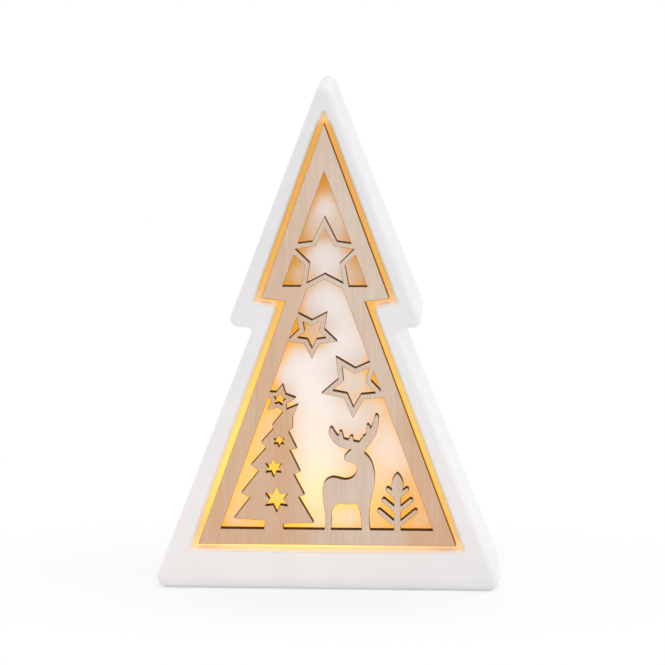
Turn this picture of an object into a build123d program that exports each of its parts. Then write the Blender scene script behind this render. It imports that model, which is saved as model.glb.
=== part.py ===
from build123d import *
import math
import os

# Millimetres. X runs to the right seen from the front, Y to the back and Z up.
# The origin is at the middle of the underside.

# Plywood panel, measured on its front face.
panel_height = 208.1
panel_thickness = 4.0
panel_set_back = 0.5

# Drawing of the panel with its bottom edge at zero: corners of the frame, right half, and its bars.
frame_tip = (0, 208.1)
frame_tier = (30.8, 123.8)
frame_notch = (19.1, 122.2)
frame_base = (63.4, 0)
frame_band = 7.8
crossbar = 5.6
figure_root = 1.0

# Open five-pointed stars in the drawing: place, tip radius and turn in degrees.
open_stars = [(0, 143.1, 20.4, 0), (-6.5, 106.4, 12.8, 180), (14, 80.9, 16.6, 177)]
star_points = 5
star_band = 2.4
star_valley = 0.5

# Porcelain body.
sill_height = 23.2
top_rim = 18.0
body_depth = 46.0
wall = 3.5
side_slope = 0.387
tier_rim_drop = 14.4
notch_rim = 16.0
notch_rim_drop = 13.8
base_rim = 23.4
tip_round = 3.9
corner_round = 5.2
tier_corner_round = 4.0
notch_round = 2.0
edge_round = 3.2
panel_gap = 2.4
recess_depth = 8.0
recess_floor = 3.0
lip_round = 2.6
lip_land = 0.4
recess_round = 0.8

# Light unit in the lower back.
unit_height = 44.0
gasket_thickness = 0.8
gasket_inset = 1.0
flange_thickness = 1.8
flange_border = 4.0
flange_corner = 5.0
tub_wall = 1.6
tub_clearance = 1.0
lug_reach = 1.5
lug_length = 12.0
lug_height = 3.0

# AAA cells and their contacts.
cell_diameter = 10.5
cell_length = 44.5
cell_edge_round = 0.6
nub_diameter = 3.8
nub_length = 1.0
cell_count = 3
cell_spacing = 0.7
cell_clearance = 0.3
contact_gap = 0.05
contact_thickness = 0.4
contact_width = 9.0
leaf_rise = 2.0
leaf_half_chord = 3.5
leaf_width = 5.0
tab_width = 3.0
tab_reach = 4.6
tab_clearance = 0.3
rib_width = 1.2
rib_height = 2.0

# Hinged lid.
lid_margin = 3.0
lid_clearance = 0.4
barrel_radius = 2.0
pin_radius = 1.0
pin_clearance = 0.3
pin_reach = 1.0
scallop_radius = 4.0
scallop_depth = 1.0

# Slide switch.
switch_width = 8.0
switch_height = 14.0
switch_depth = 6.0
switch_pocket = 11.8
knob_width = 3.6
knob_height = 4.0
knob_proud = 1.2
knob_travel = 4.0
groove_width = 0.4
groove_depth = 0.4
foot_border = 0.9
foot_thickness = 1.6
slide_clearance = 0.3
terminal_width = 1.0
terminal_length = 2.5
terminal_offset = 3.5
window_border = 1.0

# Lamp board.
board_length = 40.0
board_width = 12.0
board_thickness = 1.6
board_drop = 1.2
boss_height = 3.0
boss_radius = 2.6
screw_inset = 4.0
screw_radius = 0.95
screw_head_radius = 1.8
screw_head_height = 1.3
screw_bite = 3.2
screw_clearance = 0.1
screw_end_clearance = 0.3
led_gap = 1.0
led_raise = 1.5
led_radius = 2.5
led_rim = 0.4
led_rim_height = 1.0
led_length = 8.6
resistor_length = 6.0
resistor_radius = 1.1
resistor_lead_radius = 0.3
resistor_span = 10.0
resistor_drop = 4.0
wire_radius = 0.6
wire_bend = 2.0
wire_rise = 4.0
pad_inset = 4.0

# Pegs behind the panel, placed from the corners of the frame.
peg_radius = 3.0
tip_peg_drop = 17.1
tier_peg_inset = 8.2
tier_peg_raise = 11.0
base_peg_inset = 8.4

# How far a cutting solid runs past the face it cuts, how deep a rib is rooted, and how closely
# the volume of a swept wire has to agree with its section times its length.
overshoot = 1.0
rib_root = 0.5
sweep_tolerance = 0.01

# Levels and depths that follow from the sizes above.
art_scale = panel_height / frame_tip[1]
panel_bottom = sill_height
height = sill_height + panel_height + top_rim
overall_depth = body_depth + gasket_thickness + flange_thickness + knob_proud
front = -overall_depth / 2
back = front + body_depth
floor_front = front + recess_depth
floor_back = floor_front + recess_floor
panel_front = front + panel_set_back
panel_back = panel_front + panel_thickness
flange_inner = back + gasket_thickness
flange_outer = flange_inner + flange_thickness

cell_radius = cell_diameter / 2
cell_pitch = cell_diameter + cell_spacing
bay_length = 2 * (contact_thickness + contact_gap) + leaf_rise + cell_length
bay_height = (cell_count - 1) * cell_pitch + cell_diameter + 2 * lid_margin + 2 * lid_clearance
bay_depth = flange_thickness + 2 * cell_clearance + cell_diameter
tub_length = bay_length + switch_pocket + 3 * tub_wall
tub_height = bay_height + 2 * tub_wall
bay_left = tub_wall - tub_length / 2
bay_right = bay_left + bay_length
bay_bottom = unit_height - bay_height / 2
bay_top = unit_height + bay_height / 2
tub_floor = flange_outer - bay_depth
tub_front = tub_floor - tub_wall
opening_length = tub_length + 2 * tub_clearance
opening_height = tub_height + 2 * tub_clearance
flange_length = opening_length + 2 * flange_border
flange_height = opening_height + 2 * flange_border
cell_depth = tub_floor + cell_clearance + cell_radius
cell_levels = [unit_height + ((cell_count - 1) / 2 - row) * cell_pitch for row in range(cell_count)]

hinge_level = bay_bottom + lid_clearance + barrel_radius
hinge_depth = flange_outer - barrel_radius
switch_middle = bay_right + tub_wall + switch_pocket / 2
knob_level = unit_height + knob_travel / 2
terminal_end = flange_inner - switch_depth - terminal_length

board_back = tub_front - boss_height
board_front = board_back - board_thickness
board_level = cell_levels[0] - board_drop
board_top = board_level + board_width / 2
wire_depth = board_back - board_thickness / 2
screw_reach = board_length / 2 - screw_inset
led_pitch = screw_reach - screw_head_radius - led_radius - led_rim - led_gap


def slab(outline, near, far):
    """Solid between two depths, cut to an outline drawn as seen from the front."""
    plane = Plane((0, far, 0), x_dir=(1, 0, 0), z_dir=(0, -1, 0))
    return extrude(plane * outline, far - near)


def around(middle, half):
    """Pair of limits on both sides of a middle."""
    return middle - half, middle + half


def block(x_range, y_range, z_range):
    """Box between three pairs of limits."""
    middle = [(low + high) / 2 for low, high in (x_range, y_range, z_range)]
    size = [high - low for low, high in (x_range, y_range, z_range)]
    return Pos(*middle) * Box(*size)


def rod(x, z, radius, near, far):
    """Round bar along the depth."""
    return slab(Pos(x, z) * Circle(radius), near, far)


def mirrored(points):
    """Right half of an outline, top to bottom, closed with its left half."""
    left = [(-x, z) for x, z in reversed(points) if x > 0]
    return points + left


def star(x, z, tip, valley, points, turn):
    """Star with the first tip pointing up, turned counter-clockwise by a number of degrees."""
    corners = []
    for step in range(2 * points):
        radius = tip if step % 2 == 0 else valley
        angle = math.radians(90 + turn + step * 180 / points)
        corners.append((x + radius * math.cos(angle), z + radius * math.sin(angle)))
    return make_face(Polyline(*corners, close=True))


def open_star(x, z, tip, turn):
    """Outer and inner outline of a five-pointed star cut as a band of even width."""
    valley = tip * star_valley
    half_step = math.pi / star_points
    edge = math.hypot(tip - valley * math.cos(half_step), valley * math.sin(half_step))
    edge_distance = tip * valley * math.sin(half_step) / edge
    inner = 1 - star_band / edge_distance
    outer = star(x, z, tip, valley, star_points, turn)
    return outer, star(x, z, tip * inner, valley * inner, star_points, turn)


def stroke(start, end, start_width, end_width):
    """Round-ended straight bar that tapers from its start to its end."""
    ends = [Pos(*place) * Circle(width / 2) for place, width in ((start, start_width), (end, end_width))]
    return make_hull([edge for disc in ends for edge in disc.edges()])


def to_panel(outline):
    """Drawing of the panel brought to its real size and height."""
    return Pos(0, panel_bottom) * scale(outline, art_scale)


def frame_outline():
    """Outer edge of the panel."""
    return make_face(Polyline(*mirrored([frame_tip, frame_tier, frame_notch, frame_base]), close=True))


def inner_side(high, low):
    """Slope of a side of the frame, and the level where the inner edge of its band meets the middle."""
    slope = (low[0] - high[0]) / (high[1] - low[1])
    outer_level = high[1] + high[0] / slope
    return slope, outer_level - frame_band * math.hypot(1, slope) / slope


def window(high, low, bottom):
    """Triangle inside the band of two mirrored sides, down to a level."""
    slope, top = inner_side(high, low)
    return make_face(Polyline(*mirrored([(0, top), (slope * (top - bottom), bottom)]), close=True))


def frame_openings():
    """Upper and lower window of the frame, which a star parts."""
    upper = window(frame_tip, frame_tier, frame_tier[1] + crossbar)
    return upper + window(frame_notch, frame_base, frame_band)


def fir():
    """Small fir tree with a star on top and star holes."""
    right = [(-13.4, 70.9), (-16.1, 64.6), (-16.3, 58.9), (-18.3, 57.2), (-14.4, 48.8), (-17.9, 48),
             (-12.8, 37.1), (-16.1, 35.8), (-10.8, 25.3), (-13.8, 24.3), (-6.4, 11.2), (-21.3, 10.7)]
    foot = frame_band - figure_root
    trunk = [(-21.3, foot), (-31, foot), (-30.4, 12.2)]
    left = [(-45.6, 13.2), (-37.4, 23.9), (-41.8, 26.2), (-33.1, 37.2), (-36.8, 40.5), (-29.3, 49),
            (-31.7, 51.9), (-25.6, 58.7), (-26.3, 60.4), (-20.4, 67.8)]
    body = make_face(Polyline(*right, *trunk, *left, close=True))
    body += star(-22.5, 73.3, 7.9, 4, star_points, -12)
    body -= star(-22.5, 73.3, 3.3, 1.7, star_points, -12)
    for x, z, tip in ((-23, 52.5, 3.1), (-25.8, 38.9, 4.7), (-24.5, 22.9, 6.6)):
        body -= star(x, z, tip, tip / 2, 6, 0)
    return body


def reindeer():
    """Standing reindeer that looks back over its shoulder."""
    foot = frame_band - figure_root
    rear = Spline((12.4, 48.6), (9.2, 45.6), (8.7, 44), (9.6, 42.9), (13.4, 41.6), (14.9, 38.6), (12.8, 34.5),
                  (8.6, 33.4), (3.2, 34.4), (-0.6, 32.4), (-1.9, 28.4), (-1.3, 19.5), (-1.6, foot))
    hind_foot = Line((-1.6, foot), (1.8, foot))
    belly = Spline((1.8, foot), (2.4, 12.8), (3.8, 19.2), (5.6, 21), (10.4, 20.8), (14.8, 21), (16, 18.4),
                   (16.8, 13.6), (17.4, foot))
    front_foot = Line((17.4, foot), (21.6, foot))
    chest = Spline((21.6, foot), (21.1, 17.6), (22.1, 24.2), (23.6, 31.4), (23.5, 37.4), (21.9, 42.8),
                   (18.6, 46.8))
    head = Polyline((18.6, 46.8), (20.2, 50.2), (16, 51.2), (12.4, 48.6))
    body = make_face(rear + hind_foot + belly + front_foot + chest + head)
    left = Spline((12.4, 48.6), (8, 49.4), (4, 51.9), (1.7, 55.4), (1.4, 58.2), (2.5, 59.7), (3.7, 58.4),
                  (5.7, 55.5), (9.6, 53.6), (16, 52.2))
    right = Spline((20.2, 50.2), (22.3, 52.9), (24.6, 56.8), (25.7, 62.6), (25.4, 65.4), (24.6, 66.2),
                   (23.7, 65.2), (22.9, 62.2), (21.6, 59), (18.8, 55.6), (16, 52.2))
    body += make_face(left + right + Polyline((20.2, 50.2), (16, 50), (12.4, 48.6)))
    tines = [((11.7, 51.6), (12.4, 54.7)), ((7.2, 53), (7.1, 57)), ((21.2, 56.8), (20.4, 60.4)),
             ((20, 54.2), (18.5, 54.7))]
    root_width = 3.4
    tip_width = 1.5
    for root, end in tines:
        body += stroke(root, end, root_width, tip_width)
    return body


def twig():
    """Twig with a leaf on top and three pairs of branches."""
    middle = 34.7
    half = 1.65
    branch = 2.1
    branch_slope = 0.86
    tip = (middle, 36.8)
    foot = frame_band - figure_root
    leaf = ThreePointArc((middle + half, 26), (middle + 2.9, 30.4), tip)
    leaf += ThreePointArc(tip, (middle - 2.9, 30.4), (middle - half, 26))
    leaf += Polyline((middle - half, 26), (middle - half, foot), (middle + half, foot), (middle + half, 26))
    outline = make_face(leaf)
    for level, spread in ((24.4, 4.6), (17.2, 6.6), (9.8, 8.8)):
        for side in (-1, 1):
            root = (middle, level)
            end = (middle + side * spread, level + branch_slope * spread)
            outline += stroke(root, end, branch, branch)
    return outline


def panel_outline():
    """Frame and all the figures that are cut with it."""
    stars = [open_star(*place) for place in open_stars]
    outline = frame_outline() - frame_openings()
    outline += [outer for outer, inner in stars]
    outline -= [inner for outer, inner in stars]
    return outline + fir() + reindeer() + twig()


def peg_places():
    """Places behind the solid parts of the frame, as seen from the front."""
    tier = frame_tier[0] - tier_peg_inset
    tier_level = frame_tier[1] + tier_peg_raise
    base = frame_base[0] - base_peg_inset
    drawn = [(0, frame_tip[1] - tip_peg_drop), (tier, tier_level), (-tier, tier_level),
             (base, frame_band / 2), (-base, frame_band / 2)]
    return [(x * art_scale, panel_bottom + z * art_scale) for x, z in drawn]


def body_outline():
    """Rounded outer edge of the porcelain tree."""
    half_angle = math.atan(side_slope)
    sharp_tip = height + tip_round * (1 / math.sin(half_angle) - 1)
    tier_level = panel_bottom + frame_tier[1] * art_scale - tier_rim_drop
    tier_half = side_slope * (sharp_tip - tier_level)
    notch_half = frame_notch[0] * art_scale + notch_rim
    notch_level = panel_bottom + frame_notch[1] * art_scale - notch_rim_drop
    base_half = frame_base[0] * art_scale + base_rim
    corners = mirrored([(0, sharp_tip), (tier_half, tier_level), (notch_half, notch_level), (base_half, 0)])
    tangent_share = math.tan((math.pi / 2 + half_angle) / 2)
    tier_round = min(tier_corner_round, (tier_half - notch_half) / tangent_share - notch_round)
    rounds = [tip_round, tier_round, notch_round, corner_round, corner_round, notch_round, tier_round]
    return make_face(FilletPolyline(*corners, radius=rounds, close=True))


def inward_corners(outline):
    """The two corners of the recess that point inwards, under the upper tier of the panel."""
    half = frame_notch[0] * art_scale
    level = panel_bottom + frame_notch[1] * art_scale
    return [outline.vertices().sort_by_distance((side * half, level))[0] for side in (-1, 1)]


def recess_outline():
    """Edge of the recess, an even gap outside the panel, with room for the lip at its inward corners."""
    outline = offset(to_panel(frame_outline()), panel_gap, kind=Kind.INTERSECTION)
    inward = inward_corners(outline)
    outline = fillet([corner for corner in outline.vertices() if corner not in inward], recess_round)
    return fillet(inward_corners(outline), lip_round + lip_land)


def unit_rectangle(length, tall, corner):
    """Rounded rectangle centred on the light unit."""
    return Pos(0, unit_height) * RectangleRounded(length, tall, corner)


def ceramic_body():
    """Hollow porcelain casting with the front recess and the opening in its back."""
    outline = body_outline()
    body = slab(outline, front, back)
    faces = body.faces().sort_by(Axis.Y)
    body = fillet(faces[0].edges() + faces[-1].edges(), edge_round)
    body -= slab(recess_outline(), front - wall, floor_front)
    lip = body.faces().sort_by(Axis.Y)[0].inner_wires()[0].edges()
    body = fillet(lip, lip_round)
    inside = offset(outline, -wall)
    body -= slab(inside, floor_back, back - wall)
    sill_top = panel_bottom - panel_gap - wall
    sill = inside & Pos(0, sill_top / 2) * Rectangle(2 * frame_base[0] * art_scale, sill_top)
    body -= slab(sill, front + wall, floor_back + wall)
    opening = unit_rectangle(opening_length, opening_height, tub_clearance + tub_wall)
    body -= slab(opening, back - 2 * wall, back + wall)
    return body


def wood_panel():
    """Laser-cut plywood panel."""
    return slab(to_panel(panel_outline()), panel_front, panel_back)


def panel_spacers():
    """Pegs between the panel and the floor of the recess."""
    return Compound(children=[rod(x, z, peg_radius, panel_back, floor_front) for x, z in peg_places()])


def light_housing():
    """Moulded tub with its flange, cell ribs, hinge holes and board bosses."""
    unit = slab(unit_rectangle(tub_length, tub_height, tub_wall), tub_front, flange_outer)
    unit += slab(unit_rectangle(flange_length, flange_height, flange_corner), flange_inner, flange_outer)
    for side in (-1, 1):
        edge = unit_height + side * tub_height / 2
        reach = edge + side * (tub_clearance + lug_reach)
        catch = back - wall - slide_clearance
        unit += block(around(0, lug_length / 2), (catch - lug_height, catch),
                      sorted((edge - side * rib_root, reach)))
    unit -= block((bay_left, bay_right), (tub_floor, flange_outer + overshoot), (bay_bottom, bay_top))
    pocket = around(switch_middle, switch_pocket / 2)
    unit -= block(pocket, (tub_floor, flange_inner), (bay_bottom, bay_top))
    unit += cell_ribs()
    for side, edge in ((-1, bay_left), (1, bay_right)):
        reach = edge + side * (pin_reach + pin_clearance)
        unit -= bar_along_x(edge - side * lid_clearance, reach, pin_radius + pin_clearance)
    unit -= rod(bay_left + bay_length / 2, bay_top, scallop_radius, flange_outer - scallop_depth,
                flange_outer + overshoot)
    unit -= knob_slot()
    unit -= switch_window()
    for wall_x, inward, level in ((bay_left, 1, cell_levels[0]), (bay_right, -1, cell_levels[-1])):
        reach = wall_x + inward * (contact_thickness + tab_clearance)
        half = tab_width / 2 + tab_clearance
        unit -= block(sorted((wall_x, reach)), (tub_front - overshoot, tub_floor + overshoot),
                      around(level, half))
    for x in around(0, screw_reach):
        unit += rod(x, board_level, boss_radius, board_back, tub_front)
        unit -= rod(x, board_level, screw_radius + screw_clearance, board_back - overshoot,
                    board_back + screw_bite + screw_end_clearance)
    return unit


def bar_along_x(start, end, radius):
    """Round bar on the hinge axis."""
    middle = (start + end) / 2
    return Pos(middle, hinge_depth, hinge_level) * Rot(0, 90, 0) * Cylinder(radius, abs(end - start))


def cell_ribs():
    """Low ribs that keep the cells apart, with a ledge above and below them."""
    ends = (bay_left + contact_width, bay_right - contact_width)
    ribs = []
    for upper, lower in zip(cell_levels, cell_levels[1:]):
        middle = (upper + lower) / 2
        ribs.append(block(ends, (tub_floor - rib_root, tub_floor + rib_height),
                          around(middle, rib_width / 2)))
    for edge, side in ((bay_top, -1), (bay_bottom, 1)):
        inner = edge + side * (lid_margin + lid_clearance - cell_clearance)
        ribs.append(block(ends, (tub_floor - rib_root, tub_floor + cell_radius),
                          sorted((edge - side * rib_root, inner))))
    return ribs


def knob_slot():
    """Slot in the flange for the stem of the knob."""
    half_width = knob_width / 2 + slide_clearance
    half_height = (knob_height + knob_travel) / 2 + slide_clearance
    depths = (flange_inner - overshoot, flange_outer + overshoot)
    return block(around(switch_middle, half_width), depths, around(unit_height, half_height))


def switch_window():
    """Window in the floor of the tub for the wires of the switch."""
    half_width = switch_width / 2 - window_border
    half_height = switch_height / 2 - window_border
    depths = (tub_front - overshoot, tub_floor + overshoot)
    return block(around(switch_middle, half_width), depths, around(unit_height, half_height))


def housing_gasket():
    """Foam ring under the flange."""
    inset = 2 * gasket_inset
    outer = unit_rectangle(flange_length - inset, flange_height - inset, flange_corner - gasket_inset)
    inner = unit_rectangle(opening_length, opening_height, tub_clearance + tub_wall)
    return slab(outer - inner, back, flange_inner)


def battery_lid():
    """Lid with a round hinge edge and two pins."""
    sides = (bay_left + lid_clearance, bay_right - lid_clearance)
    lid = block(sides, (flange_inner, flange_outer), (hinge_level, bay_top - lid_clearance))
    lid += bar_along_x(*sides, barrel_radius)
    lid += bar_along_x(bay_left - pin_reach, bay_right + pin_reach, pin_radius)
    return lid


def battery(row):
    """One cell, its nub to the right in even rows and to the left in odd rows."""
    facing = 1 if row % 2 == 0 else -1
    can_length = cell_length - nub_length
    can = Cylinder(cell_radius, can_length)
    can = fillet(can.edges().filter_by(GeomType.CIRCLE), cell_edge_round)
    nub = Cylinder(nub_diameter / 2, nub_length)
    cell = Pos(0, 0, -nub_length / 2) * can + Pos(0, 0, can_length / 2) * nub
    middle = (bay_left + bay_right + facing * leaf_rise) / 2
    return Pos(middle, cell_depth, cell_levels[row]) * Rot(0, 90 * facing, 0) * cell


def contact(wall_x, inward, rows, leaf_row, tab_row):
    """Sheet contact on an end wall, with an arched leaf for a can and a tab for a wire."""
    levels = [cell_levels[row] for row in rows]
    low = min(levels) - contact_width / 2
    high = max(levels) + contact_width / 2
    face = wall_x + inward * contact_thickness
    sheet = sorted((wall_x, face))
    plate = block(sheet, (tub_floor, tub_floor + contact_width), (low, high))
    if leaf_row is not None:
        radius = (leaf_half_chord**2 + leaf_rise**2) / (2 * leaf_rise)
        ring = Circle(radius) - Circle(radius - contact_thickness)
        crest = face + inward * leaf_rise
        level = cell_levels[leaf_row]
        arch = Pos(crest - inward * radius, level) * ring
        arch &= Pos((wall_x + crest) / 2, level) * Rectangle(abs(crest - wall_x), contact_width)
        plate += slab(arch, *around(cell_depth, leaf_width / 2))
    if tab_row is not None:
        level = cell_levels[tab_row]
        plate += block(sheet, (tub_front - tab_reach, tub_floor + overshoot),
                       around(level, tab_width / 2))
    return plate


def switch_body():
    """Case of the slide switch with its well and two terminals."""
    case_back = flange_inner - switch_depth
    case = block(around(switch_middle, switch_width / 2), (case_back, flange_inner),
                 around(unit_height, switch_height / 2))
    half_width = knob_width / 2 + foot_border + slide_clearance
    half_height = (knob_height + knob_travel) / 2 + foot_border + slide_clearance
    well_depth = foot_thickness + 2 * slide_clearance
    case -= block(around(switch_middle, half_width), (flange_inner - well_depth, flange_inner),
                  around(unit_height, half_height))
    for level in around(unit_height, terminal_offset):
        case += block(around(switch_middle, terminal_width / 2), (terminal_end, case_back),
                      around(level, terminal_width))
    return case


def switch_knob():
    """Knob with its hidden foot, drawn in the lit position."""
    half_width = knob_width / 2
    half_height = knob_height / 2
    foot_top = flange_inner - slide_clearance
    top = flange_outer + knob_proud
    foot_bottom = foot_top - foot_thickness
    knob = block(around(switch_middle, half_width), (foot_bottom, top), around(knob_level, half_height))
    knob += block(around(switch_middle, half_width + foot_border), (foot_bottom, foot_top),
                  around(knob_level, half_height + foot_border))
    for step in (-1, 0, 1):
        groove = knob_level + step * knob_height / 4
        knob -= block(around(switch_middle, knob_width), (top - groove_depth, top + overshoot),
                      around(groove, groove_width / 2))
    return knob


def circuit_board():
    """Lamp board with its two screw holes."""
    outline = Pos(0, board_level) * Rectangle(board_length, board_width)
    for x in around(0, screw_reach):
        outline -= Pos(x, board_level) * Circle(screw_radius + screw_clearance)
    return slab(outline, board_front, board_back)


def leds():
    """Three round lamps that point to the recess floor."""
    dome = led_length - led_radius
    rim = led_radius + led_rim
    side = Polyline((0, led_length), (0, 0), (rim, 0), (rim, led_rim_height), (led_radius, led_rim_height),
                    (led_radius, dome))
    section = make_face(side + CenterArc((0, dome), led_radius, 0, 90))
    lamp = revolve(Plane.XZ * section, Axis.Z)
    places = [(step * led_pitch, board_level + led_raise) for step in (-1, 0, 1)]
    return Compound(children=[Pos(x, board_front, z) * Rot(90, 0, 0) * lamp for x, z in places])


def resistor():
    """Resistor on its bent lead."""
    level = board_level - resistor_drop
    lift = board_front - resistor_radius - resistor_lead_radius
    half = resistor_span / 2
    path = FilletPolyline((-half, board_front, level), (-half, lift, level), (half, lift, level),
                          (half, board_front, level), radius=resistor_lead_radius * 2)
    lead = sweep(Plane(path @ 0, z_dir=path % 0) * Circle(resistor_lead_radius), path=path)
    return lead + Pos(0, lift, level) * Rot(0, 90, 0) * Cylinder(resistor_radius, resistor_length)


def board_screws():
    """Two screws that hold the board on its bosses."""
    screws = []
    for x in around(0, screw_reach):
        head = rod(x, board_level, screw_head_radius, board_front - screw_head_height, board_front)
        screws.append(head + rod(x, board_level, screw_radius, board_front, board_back + screw_bite))
    return Compound(children=screws)


def wire(points):
    """Round wire along straight runs and tangent bends."""
    path = FilletPolyline(*points, radius=wire_bend) if len(points) > 2 else Line(*points)
    strand = sweep(Plane(path @ 0, z_dir=path % 0) * Circle(wire_radius), path=path)
    expected = math.pi * wire_radius**2 * path.length
    assert abs(strand.volume / expected - 1) < sweep_tolerance
    return strand


def red_wire():
    """From the positive tab to the lower terminal of the switch."""
    start = cell_levels[-1]
    level = unit_height - terminal_offset
    return wire([(bay_right, wire_depth, start), (switch_middle, wire_depth, start),
                 (switch_middle, wire_depth, level), (switch_middle, terminal_end, level)])


def black_wire():
    """From the negative tab to the left end of the board."""
    level = cell_levels[0]
    return wire([(bay_left + contact_thickness, wire_depth, level), (-board_length / 2, wire_depth, level)])


def white_wire():
    """From the upper terminal of the switch over the top edge of the board."""
    level = unit_height + terminal_offset
    crest = board_top + wire_rise
    pad = board_length / 2 - pad_inset
    return wire([(switch_middle, terminal_end, level), (switch_middle, wire_depth, level),
                 (switch_middle, wire_depth, crest), (pad, wire_depth, crest), (pad, wire_depth, board_top)])


pieces = {
    "ceramic_body": ceramic_body(),
    "wood_panel": wood_panel(),
    "panel_spacers": panel_spacers(),
    "light_housing": light_housing(),
    "housing_gasket": housing_gasket(),
    "battery_lid": battery_lid(),
    "negative_contact": contact(bay_left, 1, (0,), 0, 0),
    "positive_contact": contact(bay_right, -1, (2,), None, 2),
    "bridge_contact_left": contact(bay_left, 1, (1, 2), 2, None),
    "bridge_contact_right": contact(bay_right, -1, (0, 1), 1, None),
    "switch_body": switch_body(),
    "switch_knob": switch_knob(),
    "circuit_board": circuit_board(),
    "leds": leds(),
    "resistor": resistor(),
    "board_screws": board_screws(),
    "red_wire": red_wire(),
    "black_wire": black_wire(),
    "white_wire": white_wire(),
}
for row in range(cell_count):
    pieces[f"battery_{row + 1}"] = battery(row)

os.makedirs("parts", exist_ok=True)
for name, piece in pieces.items():
    export_step(piece, f"parts/{name}.step")
print(f"hinge axis y {hinge_depth:.3f} z {hinge_level:.3f}")
print(f"overall {overall_depth:.3f} deep, {height:.3f} high")
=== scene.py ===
import math

import bmesh
import bpy
from bpy.props import FloatProperty, FloatVectorProperty, PointerProperty
from mathutils import Matrix, Vector


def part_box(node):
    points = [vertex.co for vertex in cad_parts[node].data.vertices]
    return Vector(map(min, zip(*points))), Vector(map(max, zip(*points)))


bl_info = {
    "name": "Lit Porcelain Tree",
    "version": (1, 0, 0),
    "blender": (4, 5, 0),
    "location": "View3D > Sidebar > Porcelain Tree",
    "description": "Finishes for a lit porcelain tree with a fretwork panel, and its studio stage",
    "category": "Object",
}

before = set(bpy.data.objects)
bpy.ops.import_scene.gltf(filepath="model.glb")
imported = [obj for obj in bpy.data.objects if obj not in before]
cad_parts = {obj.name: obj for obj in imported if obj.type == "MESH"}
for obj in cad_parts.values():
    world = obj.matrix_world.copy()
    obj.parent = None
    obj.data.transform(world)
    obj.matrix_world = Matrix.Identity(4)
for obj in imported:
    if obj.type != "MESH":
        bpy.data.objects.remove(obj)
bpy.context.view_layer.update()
panel_low, panel_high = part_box("wood_panel")
body_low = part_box("ceramic_body")[0]
lamp_low, lamp_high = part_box("leds")
peg_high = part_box("panel_spacers")[1]
lamp_middle = (lamp_low + lamp_high) / 2

# Socket types of the shared effects.
VECTOR = "NodeSocketVector"
VALUE = "NodeSocketFloat"

# Sides of the panel's two tiers. Along a side, the reach from the middle plus the slope times the height
# stays the same. The step is the level between the tiers.
LOWER_SLOPE = 0.3625
LOWER_REACH = 0.0718
UPPER_SLOPE = 0.3654
UPPER_REACH = 0.0845
PANEL_STEP = 0.1462

# Lit recess: how far it reaches past the sides of the panel, its lowest level, the level under its step, how
# far above the panel the glow has gone and is full, and how far behind the front of its floor it ends.
RECESS_MARGIN = 0.0060
RECESS_FOOT = 0.0175
RECESS_STEP = 0.1385
TIP_DARK = 0.0065
TIP_LIT = 0.0015
FLOOR_SLACK = 0.0012

# Where on the lip's rounding the glow and the painted light and shade start, far from the lamps and near
# them.
LIT_START = (0.55, 0.25)
PAINTED_LIGHT_START = (0.28, 0.02)

# Corners of the gap with painted shade: reach, level, how far the shade goes, and the shares of glow and of
# painted light and shade that stay.
GAP_CORNERS = (
    (panel_high.x, panel_low.z, 0.018, 0.62, 0.50),
    (0.0320, 0.1455, 0.009, 0.62, 0.50),
    (0.0, panel_high.z + 0.0050, 0.0085, 0.65, 0.10),
)
CORNER_CORE = 0.002

# Patches seen from the front, of lamp light and, behind the twig, of painted shade: middle, half width and
# half height.
HOT_CENTRE = (lamp_middle.x - 0.004, lamp_middle.z - 0.008)
WIDE_CENTRE = (lamp_middle.x - 0.015, lamp_middle.z)
WIDE_HALF = 0.085
RIM_CENTRE = (lamp_middle.x - 0.02, 0.025)
RIM_HALF_WIDTH = 0.15
RIM_HALF_HEIGHT = 0.13
TWIG_CENTRE = (0.034, 0.045)
TWIG_HALF_WIDTH = 0.022
TWIG_HALF_HEIGHT = 0.030

# Strength of the glow far from the lamps and near them.
BEHIND_GLOW = (0.42, 1.15)
BESIDE_GLOW = (0.50, 1.15)
LIP_GLOW = (0.32, 1.15)
LEDGE_GLOW = (1.05, 0.2)

# Openness of the recess floor: the direction it is judged in, the limits from covered to open, and the
# shares that stay in the gap and behind the twig. Then the depth from which the floor's own glow is full,
# and the limits of the upward part of a normal from wall to ledge.
OPEN_TOWARDS = (-0.10, -1.0, 0.70)
OPEN_LIMITS = (0.31, 0.60)
GAP_OPENNESS = 0.15
TWIG_OPENNESS = 0.45
FLOOR_DEPTH = 0.0075
LEDGE_RISE = (0.1, 0.8)

# Clay: size of its clouds, height of its grain, how strongly clouds, the painted shade at the foot and specks
# show, the colour of the specks, the height of the foot and the share of the blush that stays there.
CLAY_CLOUDS = 0.028
CLAY_RELIEF = 0.00006
CLOUD_SHARE = 0.6
FOOT_SHADE_SHARE = 0.4
SPECK_SHARE = 0.10
SPECK_CLAY = (0.70, 0.69, 0.66)
FOOT_HEIGHT = 0.008
FOOT_BLUSH = 0.4

# Veneer: noise scales, where the sides turn warm, the margins of the rise, and the shares of its marks.
PATCH_SCALE = 26.0
BLOTCH_SCALE = 58.0
LEFT_WARM = (0.003, -0.014)
RIGHT_WARM = (0.028, 0.046)
RISE_START = 0.05
RISE_END = 0.04
STREAK_SHARE = 0.16
PORE_SHARE = 0.22
SCORCH_SHARE = 0.95

# Cut wall of the panel: scales of its char, the part of the thickness that is half the distance between glue
# lines, their width and colour, and the limits of the forward part of a normal from veneer to cut.
CHAR_ACROSS = 900.0
CHAR_ALONG = 120.0
GLUE_PARTS = 3
GLUE_WIDTH = 0.00022
GLUE = (0.03, 0.012, 0.004)
CUT_LIMITS = (0.75, 0.45)

# Cells: length of the nub, bare shoulder, bare base and coloured ring.
CELL_NUB = 0.0010
CAN_SHOULDER = 0.0008
CAN_BASE = 0.0012
CELL_RING = 0.0075

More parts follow.
